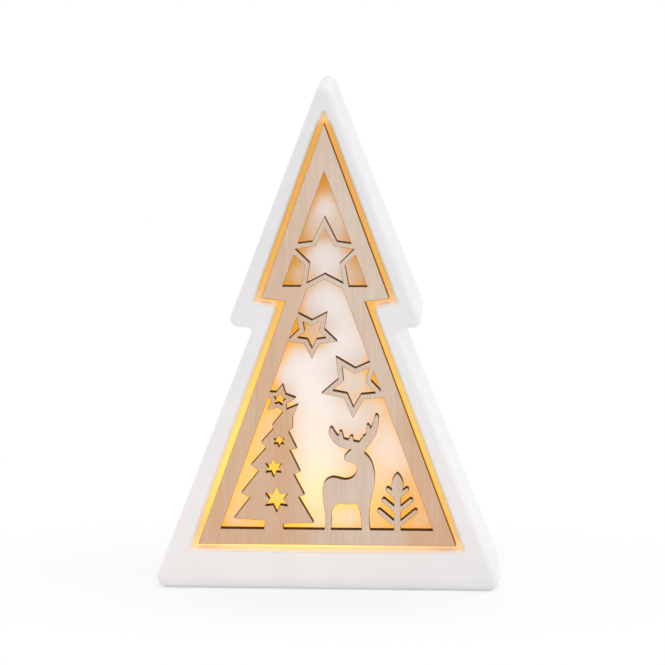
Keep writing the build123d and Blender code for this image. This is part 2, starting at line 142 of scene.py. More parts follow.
# Board: half the spacing of its traces, their limits and the ends without any. Resistor: half length of its
# body, half width of a ring, and place and colour of each ring.
TRACE_PITCH = 0.0021
TRACE_LIMITS = (0.0013, 0.0015)
TRACE_END = 0.003
RESISTOR_HALF = 0.00305
RING_HALF = 0.0003
RESISTOR_RINGS = (
    (-0.0019, (0.18, 0.06, 0.02)),
    (-0.0008, (0.02, 0.02, 0.02)),
    (0.0003, (0.16, 0.05, 0.02)),
    (0.0019, (0.45, 0.30, 0.06)),
)

# Cross in a screw's head: limits of its half width, half length and depth.
CROSS_WIDTH = (0.00034, 0.00024)
CROSS_LENGTH = (0.00115, 0.00095)
CROSS_DEPTH = (0.0002, 0.0001)

# Softboxes: name, place, width and the setting of their power, and the point that they face.
SOFTBOXES = (
    ("left_softbox", (-1.05, -0.35, 0.55), 0.9, "left_power"),
    ("right_softbox", (1.05, -0.10, 0.55), 0.9, "right_power"),
    ("top_softbox", (0.0, -0.15, 1.35), 1.0, "top_power"),
)
SOFTBOX_AIM = (0.0, 0.0, 0.12)

# Paper floor: half width, the oval round the tree in which the camera sees a part of its shadow, and the
# share of plain white in the middle of that oval.
FLOOR_HALF = 6.0
SHADOW_STRETCH = (1.0, 2.1, 1.0)
SHADOW_LIMITS = (0.085, 0.24)
SHADOW_WHITE = 0.60

# Width in millimetres of the picture that the focal length goes with.
SENSOR_WIDTH = 36.0


def colour(name, value, description):
    """Colour property in linear light."""
    return FloatVectorProperty(name=name, description=description, default=value, subtype="COLOR",
                               size=3, min=0.0, max=4.0)


def length(name, value, description):
    """Length property in metres."""
    return FloatProperty(name=name, description=description, default=value, subtype="DISTANCE",
                         unit="LENGTH", precision=5, min=0.0)


def share(name, value, description):
    """Plain number between nothing and all."""
    return FloatProperty(name=name, description=description, default=value, subtype="FACTOR",
                         min=0.0, max=1.0)


def point(name, value, description):
    """Place in the shared frame, in metres."""
    return FloatVectorProperty(name=name, description=description, default=value, subtype="TRANSLATION",
                               unit="LENGTH", size=3)


def power(name, value, description):
    """Power of a softbox in watts."""
    return FloatProperty(name=name, description=description, default=value, min=0.0, unit="POWER")


class PorcelainSettings(bpy.types.PropertyGroup):
    """Unglazed porcelain and the light that shines through the floor of its recess."""
    clay: colour("Clay", (0.850, 0.846, 0.868), "Fired white clay")
    # Painted shade: the clay is greyer low down, where the rounded foot turns towards the floor.
    foot_painted_shade: colour("Foot shade", (0.72, 0.74, 0.79), "Greyer clay low down at the foot")
    clay_shade: colour("Clay shade", (0.815, 0.812, 0.838), "Slightly greyer clouds in the clay")
    grain: length("Grain", 0.0005, "Size of the fine bisque grain")
    roughness: share("Roughness", 0.66, "Roughness of the unglazed skin")
    glow_covered: colour("Covered glow", (0.80, 0.36, 0.012), "Lamp light on the floor behind the wood")
    glow_gap: colour("Gap glow", (0.86, 0.55, 0.14), "Lamp light on the floor beside the panel")
    glow_lip: colour("Lip glow", (0.75, 0.52, 0.20), "Lamp light on the lip of the recess")
    glow_ledge: colour("Ledge glow", (0.30, 0.20, 0.30), "Paler light on walls that face up")
    glow_low: colour("Low glow", (0.08, 0.17, 0.04), "More lamp light on the covered floor near the lamps")
    glow_open: colour("Open glow", (0.32, 0.277, 0.252), "Lamp light on the open floor")
    glow_hot: colour("Hot glow", (0.40, 0.19, 0.02), "Lamp light right before the lamps")
    # Painted light and shade: these colours darken and warm the clay of the recess where the wood shades it
    # from the room, and warm it near the lamps.
    covered_painted_shade: colour("Covered painted shade", (0.75, 0.36, 0.06), "Warm share of the room light behind the wood")
    lip_painted_shade: colour("Lip painted shade", (0.85, 0.56, 0.19), "Warm share of the room light on the lip")
    low_painted_light: colour("Low painted light", (1.0, 0.92, 0.79), "Warm share of the room light near the lamps")
    hot_painted_light: colour("Hot painted light", (1.0, 0.95, 0.72), "Warm share of the room light before the lamps")
    hot_width: length("Hot width", 0.024, "Half width of the hot patch")
    hot_height: length("Hot height", 0.022, "Half height of the hot patch")
    blush: colour("Blush", (0.125, 0.090, 0.055), "Faint warm light through the lower rim")
    reach: length("Reach", 0.016, "How far the wood shades the floor from the room")
    lip: length("Lip", 0.0026, "Rounding of the lip, over which the glow fades out")


class PlywoodSettings(bpy.types.PropertyGroup):
    """Sanded plywood with laser-burnt edges."""
    pale: colour("Pale veneer", (0.790, 0.652, 0.535), "Pale veneer in the middle and above")
    pink: colour("Pink veneer", (0.760, 0.590, 0.480), "Pinker blotches")
    warm: colour("Warm veneer", (0.765, 0.460, 0.265), "Warm veneer at the sides and below")
    pore: colour("Pores", (0.42, 0.26, 0.17), "Short dark pores")
    burnt: colour("Burnt edge", (0.050, 0.018, 0.004), "Charred wall of a cut")
    scorched: colour("Scorched edge", (0.11, 0.042, 0.012), "Lighter streaks in a cut")
    streak: length("Streak", 0.0011, "Width of a streak in the veneer")
    scorch_width: length("Scorch width", 0.00055, "Width of the brown line along each cut")
    roughness: share("Roughness", 0.62, "Roughness of the sanded veneer")
    peg: colour("Peg", (0.60, 0.42, 0.25), "Turned pegs")
    peg_dark: colour("Peg grain", (0.40, 0.25, 0.13), "Grain of the pegs")


class LightUnitSettings(bpy.types.PropertyGroup):
    """Plastic, cells, contacts and lamps of the light unit."""
    shell: colour("Shell", (0.80, 0.80, 0.78), "White moulded plastic")
    shell_shade: colour("Shell shade", (0.72, 0.72, 0.70), "Greyer flow marks in the plastic")
    texture: length("Moulded texture", 0.0006, "Size of the moulded grain")
    foam: colour("Foam", (0.58, 0.58, 0.56), "Closed-cell ring")
    foam_pit: colour("Foam pits", (0.36, 0.36, 0.35), "Open cells of the ring")
    sleeve: colour("Sleeve", (0.030, 0.055, 0.075), "Plain jacket of a cell")
    sleeve_band: colour("Sleeve band", (0.36, 0.42, 0.44), "Ring at the positive end")
    steel: colour("Can", (0.66, 0.65, 0.63), "Bare steel of cells and screws")
    nickel: colour("Nickel", (0.70, 0.68, 0.63), "Plated contacts")
    tarnish: colour("Tarnish", (0.50, 0.46, 0.38), "Duller spots on plated metal")
    black: colour("Black plastic", (0.020, 0.020, 0.022), "Switch case and knob")
    resist: colour("Solder resist", (0.016, 0.105, 0.045), "Green face of the board")
    trace: colour("Trace", (0.035, 0.19, 0.085), "Copper under the resist")
    laminate: colour("Laminate", (0.50, 0.42, 0.22), "Cut edge of the board")
    lamp: colour("Lamp", (1.0, 0.70, 0.34), "Warm epoxy")
    lamp_light: colour("Lamp light", (2.2, 1.35, 0.50), "Light of a lamp that is on")
    coat: colour("Resistor coat", (0.55, 0.41, 0.24), "Lacquer of the resistor")


class WireSettings(bpy.types.PropertyGroup):
    """Soft covers of the three wires."""
    red: colour("Red cover", (0.50, 0.020, 0.018), "From the cells to the switch")
    black: colour("Black cover", (0.016, 0.016, 0.017), "From the cells to the board")
    white: colour("White cover", (0.74, 0.74, 0.71), "From the switch to the board")


class StageSettings(bpy.types.PropertyGroup):
    """Camera, soft light and floor."""
    eye: point("Eye", (0.07259, -1.19521, 0.38634), "Place of the camera")
    aim: point("Aim", (0.00353, -0.0249, 0.13022), "Point in the middle of the picture")
    roll: FloatProperty(name="Roll", description="Tilt of the picture", default=math.radians(-0.38),
                        subtype="ANGLE", unit="ROTATION")
    lens: FloatProperty(name="Lens", description="Focal length in millimetres on a 36 mm wide picture",
                        default=134.77, min=10.0)
    sky: FloatProperty(name="Sky", description="Strength of the even white light", default=0.79, min=0.0)
    left_power: power("Left power", 0.4, "Left softbox")
    right_power: power("Right power", 1.95, "Right softbox")
    top_power: power("Top power", 3.0, "Top softbox")
    floor: colour("Floor", (0.96, 0.96, 0.96), "Pale paper floor")


def settings(name):
    """Settings of one group of pieces."""
    return getattr(bpy.context.scene, name)


class Graph:
    """Adds nodes to a node tree and links their sockets."""

    def __init__(self, tree):
        self.tree = tree

    def add(self, kind, **options):
        """New node with its options set."""
        node = self.tree.nodes.new(kind)
        for option, value in options.items():
            setattr(node, option, value)
        return node

    def feed(self, socket, value):
        """Links a socket, or sets its value."""
        if isinstance(value, bpy.types.NodeSocket):
            self.tree.links.new(value, socket)
        elif socket.type == "RGBA" and len(value) == 3:
            socket.default_value = (*value, 1.0)
        else:
            socket.default_value = value

    def math(self, operation, *values, clamp=False):
        """Arithmetic on one to three values."""
        node = self.add("ShaderNodeMath", operation=operation, use_clamp=clamp)
        for socket, value in zip(node.inputs, values):
            self.feed(socket, value)
        return node.outputs[0]

    def vector(self, operation, *values):
        """Vector arithmetic, with a number out for lengths and dot products."""
        node = self.add("ShaderNodeVectorMath", operation=operation)
        for socket, value in zip(node.inputs, values):
            self.feed(socket, value)
        return node.outputs[1 if operation in ("DOT_PRODUCT", "LENGTH") else 0]

    def ease(self, value, low, high):
        """Smooth step from nothing at the low limit to all at the high one."""
        node = self.add("ShaderNodeMapRange", interpolation_type="SMOOTHSTEP")
        for name, limit in (("Value", value), ("From Min", low), ("From Max", high)):
            self.feed(node.inputs[name], limit)
        return node.outputs[0]

    def span(self, value, low, high):
        """Straight spread of a value from the range 0 to 1."""
        node = self.add("ShaderNodeMapRange")
        for name, limit in (("Value", value), ("To Min", low), ("To Max", high)):
            self.feed(node.inputs[name], limit)
        return node.outputs[0]

    def mix(self, factor, first, second, blend="MIX"):
        """Mix of two colours."""
        node = self.add("ShaderNodeMix", data_type="RGBA", blend_type=blend)
        for index, value in ((0, factor), (6, first), (7, second)):
            self.feed(node.inputs[index], value)
        return node.outputs[2]

    def scaled(self, tint, factor):
        """Colour times a number."""
        node = self.add("ShaderNodeVectorMath", operation="SCALE")
        self.feed(node.inputs[0], tint)
        self.feed(node.inputs["Scale"], factor)
        return node.outputs[0]

    def noise(self, place, scale, detail=3.0, rough=0.5):
        """Soft noise between 0 and 1."""
        node = self.add("ShaderNodeTexNoise")
        for name, value in (("Vector", place), ("Scale", scale), ("Detail", detail), ("Roughness", rough)):
            self.feed(node.inputs[name], value)
        return node.outputs[0]

    def split(self, place):
        """The three parts of a vector."""
        node = self.add("ShaderNodeSeparateXYZ")
        self.feed(node.inputs[0], place)
        return node.outputs

    def join(self, x, y, z):
        """Vector of three parts."""
        node = self.add("ShaderNodeCombineXYZ")
        for socket, value in zip(node.inputs, (x, y, z)):
            self.feed(socket, value)
        return node.outputs[0]

    def place(self):
        """Place on the piece in the shared frame."""
        return self.add("ShaderNodeTexCoord").outputs["Object"]

    def use(self, group, **values):
        """Node of a shared effect."""
        node = self.add("ShaderNodeGroup", node_tree=group)
        for name, value in values.items():
            self.feed(node.inputs[name.replace("_", " ").capitalize()], value)
        return node.outputs


def shared_effect(name, inputs, outputs):
    """Empty node group with its sockets, as a graph with the sockets of its inputs."""
    group = bpy.data.node_groups.new(name, "ShaderNodeTree")
    for title, kind in inputs:
        group.interface.new_socket(name=title, in_out="INPUT", socket_type=kind)
    for title, kind in outputs:
        group.interface.new_socket(name=title, in_out="OUTPUT", socket_type=kind)
    graph = Graph(group)
    return group, graph, graph.add("NodeGroupInput").outputs, graph.add("NodeGroupOutput").inputs


def found(name, build):
    """Shared effect that is built once."""
    return bpy.data.node_groups.get(name) or build(name)


def build_grain(name):
    """Fine pebbled skin with broad clouds, for fired clay, moulded plastic and soft vinyl."""
    group, graph, given, result = shared_effect(
        name, [("Place", VECTOR), ("Size", VALUE), ("Cloud size", VALUE)],
        [("Height", VALUE), ("Cloud", VALUE), ("Speck", VALUE)])
    fine = graph.noise(given["Place"], graph.math("DIVIDE", 1.0, given["Size"]), 4.0, 0.62)
    broad = graph.noise(given["Place"], graph.math("DIVIDE", 1.0, given["Cloud size"]), 3.0, 0.55)
    graph.feed(result["Height"], fine)
    graph.feed(result["Cloud"], graph.ease(broad, 0.36, 0.64))
    graph.feed(result["Speck"], graph.ease(fine, 0.66, 0.74))
    return group


def build_timber(name):
    """Streaks along Z with short pores."""
    group, graph, given, result = shared_effect(
        name, [("Place", VECTOR), ("Streak", VALUE)],
        [("Streaks", VALUE), ("Figure", VALUE), ("Pores", VALUE)])
    x, y, z = graph.split(given["Place"])
    across = graph.math("DIVIDE", 1.0, given["Streak"])
    wander = graph.math("MULTIPLY", graph.noise(given["Place"], 22.0, 2.0), 0.004)
    bent = graph.math("ADD", x, wander)

    def stretched(width, ratio):
        """Place with the lengthwise direction drawn out."""
        fast = graph.math("MULTIPLY", across, width)
        slow = graph.math("MULTIPLY", fast, ratio)
        return graph.join(graph.math("MULTIPLY", bent, fast), graph.math("MULTIPLY", y, fast),
                          graph.math("MULTIPLY", z, slow))

    graph.feed(result["Streaks"], graph.noise(stretched(1.0, 0.02), 1.0, 4.0, 0.62))
    graph.feed(result["Figure"], graph.ease(graph.noise(stretched(0.13, 0.07), 1.0, 3.0, 0.5), 0.36, 0.64))
    graph.feed(result["Pores"], graph.ease(graph.noise(stretched(2.6, 0.09), 1.0, 2.0, 0.5), 0.62, 0.72))
    return group


def build_edge(name):
    """Mask along sharp edges."""
    group, graph, given, result = shared_effect(
        name, [("Width", VALUE)], [("Edge", VALUE), ("Rounded", VECTOR)])
    rounded = graph.add("ShaderNodeBevel", samples=6)
    graph.feed(rounded.inputs["Radius"], given["Width"])
    straight = graph.add("ShaderNodeNewGeometry").outputs["Normal"]
    alike = graph.vector("DOT_PRODUCT", rounded.outputs[0], straight)
    graph.feed(result["Edge"], graph.ease(graph.math("SUBTRACT", 1.0, alike), 0.01, 0.10))
    graph.feed(result["Rounded"], rounded.outputs[0])
    return group


def build_between(name):
    """Mask of a value between two limits with soft ends."""
    group, graph, given, result = shared_effect(
        name, [("Value", VALUE), ("Low", VALUE), ("High", VALUE), ("Soft", VALUE)], [("Inside", VALUE)])
    above = graph.ease(given["Value"], graph.math("SUBTRACT", given["Low"], given["Soft"]),
                       graph.math("ADD", given["Low"], given["Soft"]))
    below = graph.ease(given["Value"], graph.math("ADD", given["High"], given["Soft"]),
                       graph.math("SUBTRACT", given["High"], given["Soft"]))
    graph.feed(result["Inside"], graph.math("MULTIPLY", above, below))
    return group


def grain_effect():
    """Pebbled grain, built when it is first used."""
    return found("Pebbled Grain", build_grain)


def timber_effect():
    """Streaks and pores of wood, built when they are first used."""
    return found("Timber Streaks", build_timber)


def edge_effect():
    """Line along sharp edges, built when it is first used."""
    return found("Edge Line", build_edge)


def between(graph, value, low, high, soft):
    """Mask of a value between two limits, from an effect that is built when it is first used."""
    effect = found("Between Limits", build_between)
    return graph.use(effect, value=value, low=low, high=high, soft=soft)["Inside"]


def new_finish(name):
    """Material with its shader, as a graph."""
    finish = bpy.data.materials.new(name)
    finish.use_nodes = True
    finish.node_tree.nodes.clear()
    graph = Graph(finish.node_tree)
    shader = graph.add("ShaderNodeBsdfPrincipled")
    output = graph.add("ShaderNodeOutputMaterial")
    graph.feed(output.inputs["Surface"], shader.outputs[0])
    return finish, graph, shader.inputs


def bumped(graph, height, depth, strength, normal=None):
    """Normal of a surface with small heights."""
    node = graph.add("ShaderNodeBump")
    graph.feed(node.inputs["Height"], height)
    graph.feed(node.inputs["Distance"], depth)
    graph.feed(node.inputs["Strength"], strength)
    if normal is not None:
        graph.feed(node.inputs["Normal"], normal)
    return node.outputs[0]


def dress(finish, *names):
    """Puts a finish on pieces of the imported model."""
    for name in names:
        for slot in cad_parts[name].material_slots:
            slot.material = finish


def recess_masks(graph, place, lip, strength):
    """Masks of the lit recess and of its painted light and shade, which fade out over the lip, and of the gap
    round the panel.
    """
    x, y, z = graph.split(place)
    reach = graph.math("ABSOLUTE", x)
    lower_side = graph.math("MULTIPLY_ADD", z, LOWER_SLOPE, reach)
    upper_side = graph.math("MULTIPLY_ADD", z, UPPER_SLOPE, reach)

    def tiers(margin, foot, step):
        """Outline of the panel's two tiers, grown sideways."""
        lower = graph.math("MULTIPLY", graph.math("LESS_THAN", lower_side, LOWER_REACH + margin),
                           graph.math("GREATER_THAN", z, foot))
        upper = graph.math("MULTIPLY", graph.math("LESS_THAN", upper_side, UPPER_REACH + margin),
                           graph.math("GREATER_THAN", z, step))
        return graph.math("MAXIMUM", lower, upper)

    below_tip = graph.ease(z, panel_high.z + TIP_DARK, panel_high.z + TIP_LIT)
    inside = graph.math("MULTIPLY", tiers(RECESS_MARGIN, RECESS_FOOT, RECESS_STEP), below_tip)
    depth = graph.math("DIVIDE", graph.math("SUBTRACT", y, body_low.y), lip, clamp=True)
    rest = graph.math("POWER", graph.math("SUBTRACT", 1.0, depth), 2.0)
    slope = graph.math("SQRT", graph.math("SUBTRACT", 1.0, rest))
    shown = graph.math("MULTIPLY", inside, graph.math("LESS_THAN", y, peg_high.y + FLOOR_SLACK))
    lit = graph.math("MULTIPLY", graph.ease(slope, graph.span(strength, *LIT_START), 1.0), shown)
    painted_light_and_shade = graph.math("MULTIPLY", graph.ease(slope, graph.span(strength, *PAINTED_LIGHT_START), 1.0), shown)
    gap = graph.math("SUBTRACT", 1.0, tiers(0.0, panel_low.z, PANEL_STEP))
    for side, level, far, least_lit, least_painted_light_and_shade in GAP_CORNERS:
        away = graph.join(graph.math("SUBTRACT", reach, side), 0.0, graph.math("SUBTRACT", z, level))
        corner = graph.math("MULTIPLY", gap, graph.ease(graph.vector("LENGTH", away), far, CORNER_CORE))
        lit = graph.math("MULTIPLY", lit, graph.span(corner, 1.0, least_lit))
        painted_light_and_shade = graph.math("MULTIPLY", painted_light_and_shade, graph.span(corner, 1.0, least_painted_light_and_shade))
    return lit, painted_light_and_shade, gap


def distance_share(graph, place, centre, half_width, half_height):
    """Share that falls off round a middle seen from the front, for patches of lamp light and of painted
    shade.
    """
    parts = graph.split(place)
    across = graph.math("DIVIDE", graph.math("SUBTRACT", parts["X"], centre[0]), half_width)
    along = graph.math("DIVIDE", graph.math("SUBTRACT", parts["Z"], centre[1]), half_height)
    square = graph.math("ADD", graph.math("POWER", across, 2.0), graph.math("POWER", along, 2.0))
    return graph.math("DIVIDE", 1.0, graph.math("POWER", graph.math("ADD", square, 1.0), 2.0))


class TREE_OT_porcelain(bpy.types.Operator):
    """Give the porcelain body its unglazed skin and its glowing recess"""
    bl_idname = "tree.porcelain"
    bl_label = "Porcelain Body"

    def execute(self, context):
        look = settings("tree_porcelain")
        finish, graph, shader = new_finish("bisque_porcelain")
        place = graph.place()
        parts = graph.split(place)
        grain = graph.use(grain_effect(), place=place, size=look.grain, cloud_size=CLAY_CLOUDS)
        near = distance_share(graph, place, HOT_CENTRE, look.hot_width, look.hot_height)
        wide = distance_share(graph, place, WIDE_CENTRE, WIDE_HALF, WIDE_HALF)
        foot = graph.ease(parts["Z"], FOOT_HEIGHT, 0.0)
        deep = graph.ease(parts["Y"], body_low.y + look.lip, body_low.y + FLOOR_DEPTH)
        lit, painted_light_and_shade, gap = recess_masks(graph, place, look.lip, wide)
        openness = self.openness(graph, look, place, gap)
        tone = self.clay(graph, look, grain, foot)
        painted_warm_colour = self.warmth(graph, look, openness, wide, near, deep)
        # Painted light and shade: the clay in the recess takes warm colours where the wood shades it and near
        # the lamps.
        graph.feed(shader["Base Color"], graph.mix(painted_light_and_shade, tone, graph.mix(1.0, tone, painted_warm_colour, "MULTIPLY")))
        smooth, rough = look.roughness - 0.05, look.roughness + 0.07
        graph.feed(shader["Roughness"], graph.span(grain["Cloud"], smooth, rough))
        graph.feed(shader["Normal"], bumped(graph, grain["Height"], CLAY_RELIEF, 0.5))
        glow = self.glow(graph, look, openness, gap, wide, near, deep)
        spread = distance_share(graph, place, RIM_CENTRE, RIM_HALF_WIDTH, RIM_HALF_HEIGHT)
        spread = graph.math("MULTIPLY", spread, graph.span(foot, 1.0, FOOT_BLUSH))
        outside = graph.math("MULTIPLY", spread, graph.math("SUBTRACT", 1.0, painted_light_and_shade))
        facing = graph.split(graph.add("ShaderNodeNewGeometry").outputs["Normal"])
        ledge = graph.math("MULTIPLY", graph.ease(facing["Z"], *LEDGE_RISE), graph.span(wide, *LEDGE_GLOW))
        ledge = graph.math("MULTIPLY", ledge, painted_light_and_shade)
        total = graph.vector("ADD", graph.scaled(glow, lit), graph.scaled(look.blush, outside))
        total = graph.vector("ADD", total, graph.scaled(look.glow_ledge, ledge))
        graph.feed(shader["Emission Color"], total)
        shader["Emission Strength"].default_value = 1.0
        dress(finish, "ceramic_body")
        return {"FINISHED"}

    def openness(self, graph, look, place, gap):
        """How openly a place in the recess lies before the room, with painted shade behind the twig."""
        shade = graph.add("ShaderNodeAmbientOcclusion", samples=16, inside=False, only_local=False)
        graph.feed(shade.inputs["Distance"], look.reach)
        graph.feed(shade.inputs["Normal"], graph.vector("NORMALIZE", OPEN_TOWARDS))
        # Painted shade: the floor behind the twig is made less open to the room.
        twig_shade = distance_share(graph, place, TWIG_CENTRE, TWIG_HALF_WIDTH, TWIG_HALF_HEIGHT)
        open_floor = graph.ease(shade.outputs["AO"], *OPEN_LIMITS)
        open_floor = graph.math("MULTIPLY", open_floor, graph.span(gap, 1.0, GAP_OPENNESS))
        return graph.math("MULTIPLY", open_floor, graph.span(twig_shade, 1.0, TWIG_OPENNESS))

    def clay(self, graph, look, grain, foot):
        """Clouded white clay with painted shade at the foot and fine specks."""
        tone = graph.mix(graph.math("MULTIPLY", grain["Cloud"], CLOUD_SHARE), look.clay, look.clay_shade)
        # Painted shade at the foot.
        tone = graph.mix(graph.math("MULTIPLY", foot, FOOT_SHADE_SHARE), tone, look.foot_painted_shade)
        return graph.mix(graph.math("MULTIPLY", grain["Speck"], SPECK_SHARE), tone, SPECK_CLAY)

    def warmth(self, graph, look, openness, wide, near, deep):
        """Warm colours of painted light and shade on the floor and the lip of the recess."""
        painted_warm_colour = graph.mix(openness, look.covered_painted_shade, (1.0, 1.0, 1.0))
        painted_warm_colour = graph.mix(wide, painted_warm_colour, look.low_painted_light, "MULTIPLY")
        painted_warm_colour = graph.mix(near, painted_warm_colour, look.hot_painted_light, "MULTIPLY")
        return graph.mix(deep, look.lip_painted_shade, painted_warm_colour)

    def glow(self, graph, look, openness, gap, wide, near, deep):
        """Lamp light on the floor and the lip of the recess."""
        behind = graph.scaled(look.glow_covered, graph.span(wide, *BEHIND_GLOW))
        beside = graph.scaled(look.glow_gap, graph.span(wide, *BESIDE_GLOW))
        covered = graph.mix(gap, behind, beside)
        covered = graph.vector("ADD", covered, graph.scaled(look.glow_low, wide))
        floor = graph.mix(openness, covered, look.glow_open)
        floor = graph.vector("ADD", floor, graph.scaled(look.glow_hot, near))
        return graph.mix(deep, graph.scaled(look.glow_lip, graph.span(wide, *LIP_GLOW)), floor)


class TREE_OT_panel(bpy.types.Operator):
    """Give the fretwork panel its veneer and burnt edges"""
    bl_idname = "tree.panel"
    bl_label = "Fretwork Panel"

    def execute(self, context):
        look = settings("tree_plywood")
        finish, graph, shader = new_finish("laser_cut_plywood")
        place = graph.place()
        x, y, z = graph.split(place)
        timber = graph.use(timber_effect(), place=place, streak=look.streak)
        rise = graph.ease(z, panel_low.z + RISE_START, panel_high.z - RISE_END)
        patch = graph.ease(graph.noise(place, PATCH_SCALE, 2.0), 0.34, 0.66)
        sides = graph.math("MAXIMUM", graph.ease(x, *LEFT_WARM), graph.ease(x, *RIGHT_WARM))
        drift = graph.math("MULTIPLY_ADD", timber["Figure"], 0.22, graph.math("MULTIPLY", patch, 0.20))
        warmth = graph.math("MULTIPLY_ADD", sides, 0.66, graph.math("SUBTRACT", drift, 0.08))
        warmth = graph.math("MULTIPLY", warmth, graph.span(rise, 1.0, 0.35), clamp=True)
        blotch = graph.math("MULTIPLY", graph.ease(graph.noise(place, BLOTCH_SCALE, 2.0), 0.42, 0.68), 0.55)
        veneer = graph.mix(warmth, graph.mix(blotch, look.pale, look.pink), look.warm)
        streaks = graph.math("MULTIPLY", graph.ease(timber["Streaks"], 0.35, 0.75), STREAK_SHARE)
        veneer = graph.mix(streaks, veneer, look.pore)
        veneer = graph.mix(graph.math("MULTIPLY", timber["Pores"], PORE_SHARE), veneer, look.pore)
        half_spacing = (panel_high.y - panel_low.y) / GLUE_PARTS
        plies = graph.math("PINGPONG", graph.math("SUBTRACT", y, panel_low.y), half_spacing)
        char = graph.noise(graph.join(graph.math("MULTIPLY", x, CHAR_ACROSS),
                                      graph.math("MULTIPLY", y, CHAR_ALONG),
                                      graph.math("MULTIPLY", z, CHAR_ACROSS)), 1.0, 3.0)
        cut = graph.mix(graph.ease(char, 0.40, 0.72), look.burnt, look.scorched)
        cut = graph.mix(graph.math("MULTIPLY", graph.ease(plies, GLUE_WIDTH, 0.0), 0.6), cut, GLUE)
        facing = graph.split(graph.add("ShaderNodeNewGeometry").outputs["Normal"])["Y"]
        wall = graph.ease(graph.math("ABSOLUTE", facing), *CUT_LIMITS)
        edge = graph.use(edge_effect(), width=look.scorch_width)["Edge"]
        face = graph.mix(graph.math("MULTIPLY", edge, SCORCH_SHARE), veneer, look.scorched)
        graph.feed(shader["Base Color"], graph.mix(wall, face, cut))
        smooth, rough = look.roughness - 0.08, look.roughness + 0.12
        graph.feed(shader["Roughness"], graph.span(timber["Streaks"], smooth, rough))
        relief = graph.math("SUBTRACT", timber["Streaks"], graph.math("MULTIPLY", timber["Pores"], 0.5))
        graph.feed(shader["Normal"], bumped(graph, relief, 0.00008, 0.35))
        shader["Specular IOR Level"].default_value = 0.1
        dress(finish, "wood_panel")
        return {"FINISHED"}


class TREE_OT_pegs(bpy.types.Operator):
    """Give the pegs behind the panel their turned wood"""
    bl_idname = "tree.pegs"
    bl_label = "Panel Pegs"

    def execute(self, context):
        look = settings("tree_plywood")
        finish, graph, shader = new_finish("turned_peg_wood")
        x, y, z = graph.split(graph.place())
        along = graph.join(x, z, y)
        timber = graph.use(timber_effect(), place=along, streak=0.0007)
        tone = graph.mix(graph.ease(timber["Streaks"], 0.35, 0.70), look.peg, look.peg_dark)
        pores = graph.math("MULTIPLY", timber["Pores"], 0.4)
        graph.feed(shader["Base Color"], graph.mix(pores, tone, look.pore))
        graph.feed(shader["Roughness"], graph.span(timber["Figure"], 0.62, 0.78))
        graph.feed(shader["Normal"], bumped(graph, timber["Streaks"], 0.00008, 0.4))
        dress(finish, "panel_spacers")
        return {"FINISHED"}


def moulded(name, base, shade, texture, roughness, rounding):
    """Moulded plastic with a pebbled skin, softened edges and a painted highlight along them."""
    finish, graph, shader = new_finish(name)
    grain = graph.use(grain_effect(), place=graph.place(), size=texture, cloud_size=0.017)
    edge = graph.use(edge_effect(), width=rounding)
    tone = graph.mix(graph.math("MULTIPLY", grain["Cloud"], 0.5), base, shade)
    # Painted highlight: the base colour is lighter along the edges.
    lighter = tuple(min(1.0, part * 1.18 + 0.01) for part in base)
    edge_highlight = graph.math("MULTIPLY", edge["Edge"], 0.35)
    graph.feed(shader["Base Color"], graph.mix(edge_highlight, tone, lighter))
    graph.feed(shader["Roughness"], graph.span(grain["Height"], roughness - 0.07, roughness + 0.10))
    graph.feed(shader["Normal"], bumped(graph, grain["Height"], 0.00005, 0.35, edge["Rounded"]))
    return finish


class TREE_OT_housing(bpy.types.Operator):
    """Give the light housing, its lid and its foam ring their finishes"""
    bl_idname = "tree.housing"
    bl_label = "Light Housing"

    def execute(self, context):
        look = settings("tree_light_unit")
        shell = moulded("matt_white_shell", look.shell, look.shell_shade, look.texture, 0.46, 0.00045)
        dress(shell, "light_housing", "battery_lid")
        finish, graph, shader = new_finish("closed_cell_foam")
        cells = graph.add("ShaderNodeTexVoronoi", feature="F1")
        graph.feed(cells.inputs["Vector"], graph.place())
        cells.inputs["Scale"].default_value = 1600.0
        # Painted shade: the open cells of the ring are coloured darker.
        pit = graph.ease(cells.outputs["Distance"], 0.55, 0.20)
        graph.feed(shader["Base Color"], graph.mix(pit, look.foam, look.foam_pit))
        graph.feed(shader["Roughness"], graph.span(pit, 0.82, 0.96))
        graph.feed(shader["Normal"], bumped(graph, cells.outputs["Distance"], 0.00015, 0.6))
        dress(finish, "housing_gasket")
        return {"FINISHED"}


def cell_finish(node, positive_side):
    """Jacketed cell with a bare can at both ends and a ring at its positive end."""
    look = settings("tree_light_unit")
    low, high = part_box(node)
    finish, graph, shader = new_finish(f"sleeve_{node}")
    place = graph.place()
    along = graph.split(place)["X"]
    if positive_side > 0:
        left, right = low.x + CAN_BASE, high.x - CELL_NUB - CAN_SHOULDER
        band = (right - CELL_RING, right)
    else:
        left, right = low.x + CELL_NUB + CAN_SHOULDER, high.x - CAN_BASE
        band = (left, left + CELL_RING)
    jacket = between(graph, along, left, right, 0.00012)
    ringed = between(graph, along, *band, 0.0001)
    grain = graph.use(grain_effect(), place=place, size=0.0009, cloud_size=0.012)
    sleeve = graph.mix(ringed, look.sleeve, look.sleeve_band)
    sleeve = graph.mix(graph.math("MULTIPLY", grain["Cloud"], 0.18), sleeve, (0.10, 0.12, 0.13))
    can = graph.mix(grain["Cloud"], look.steel, look.tarnish)
    graph.feed(shader["Base Color"], graph.mix(jacket, can, sleeve))
    graph.feed(shader["Metallic"], graph.math("SUBTRACT", 1.0, jacket))
    graph.feed(shader["Roughness"], graph.span(grain["Height"], 0.26, 0.42))
    height = graph.math("MULTIPLY_ADD", jacket, 1.5, graph.math("MULTIPLY", grain["Height"], 0.3))
    graph.feed(shader["Normal"], bumped(graph, height, 0.0001, 0.5))
    return finish


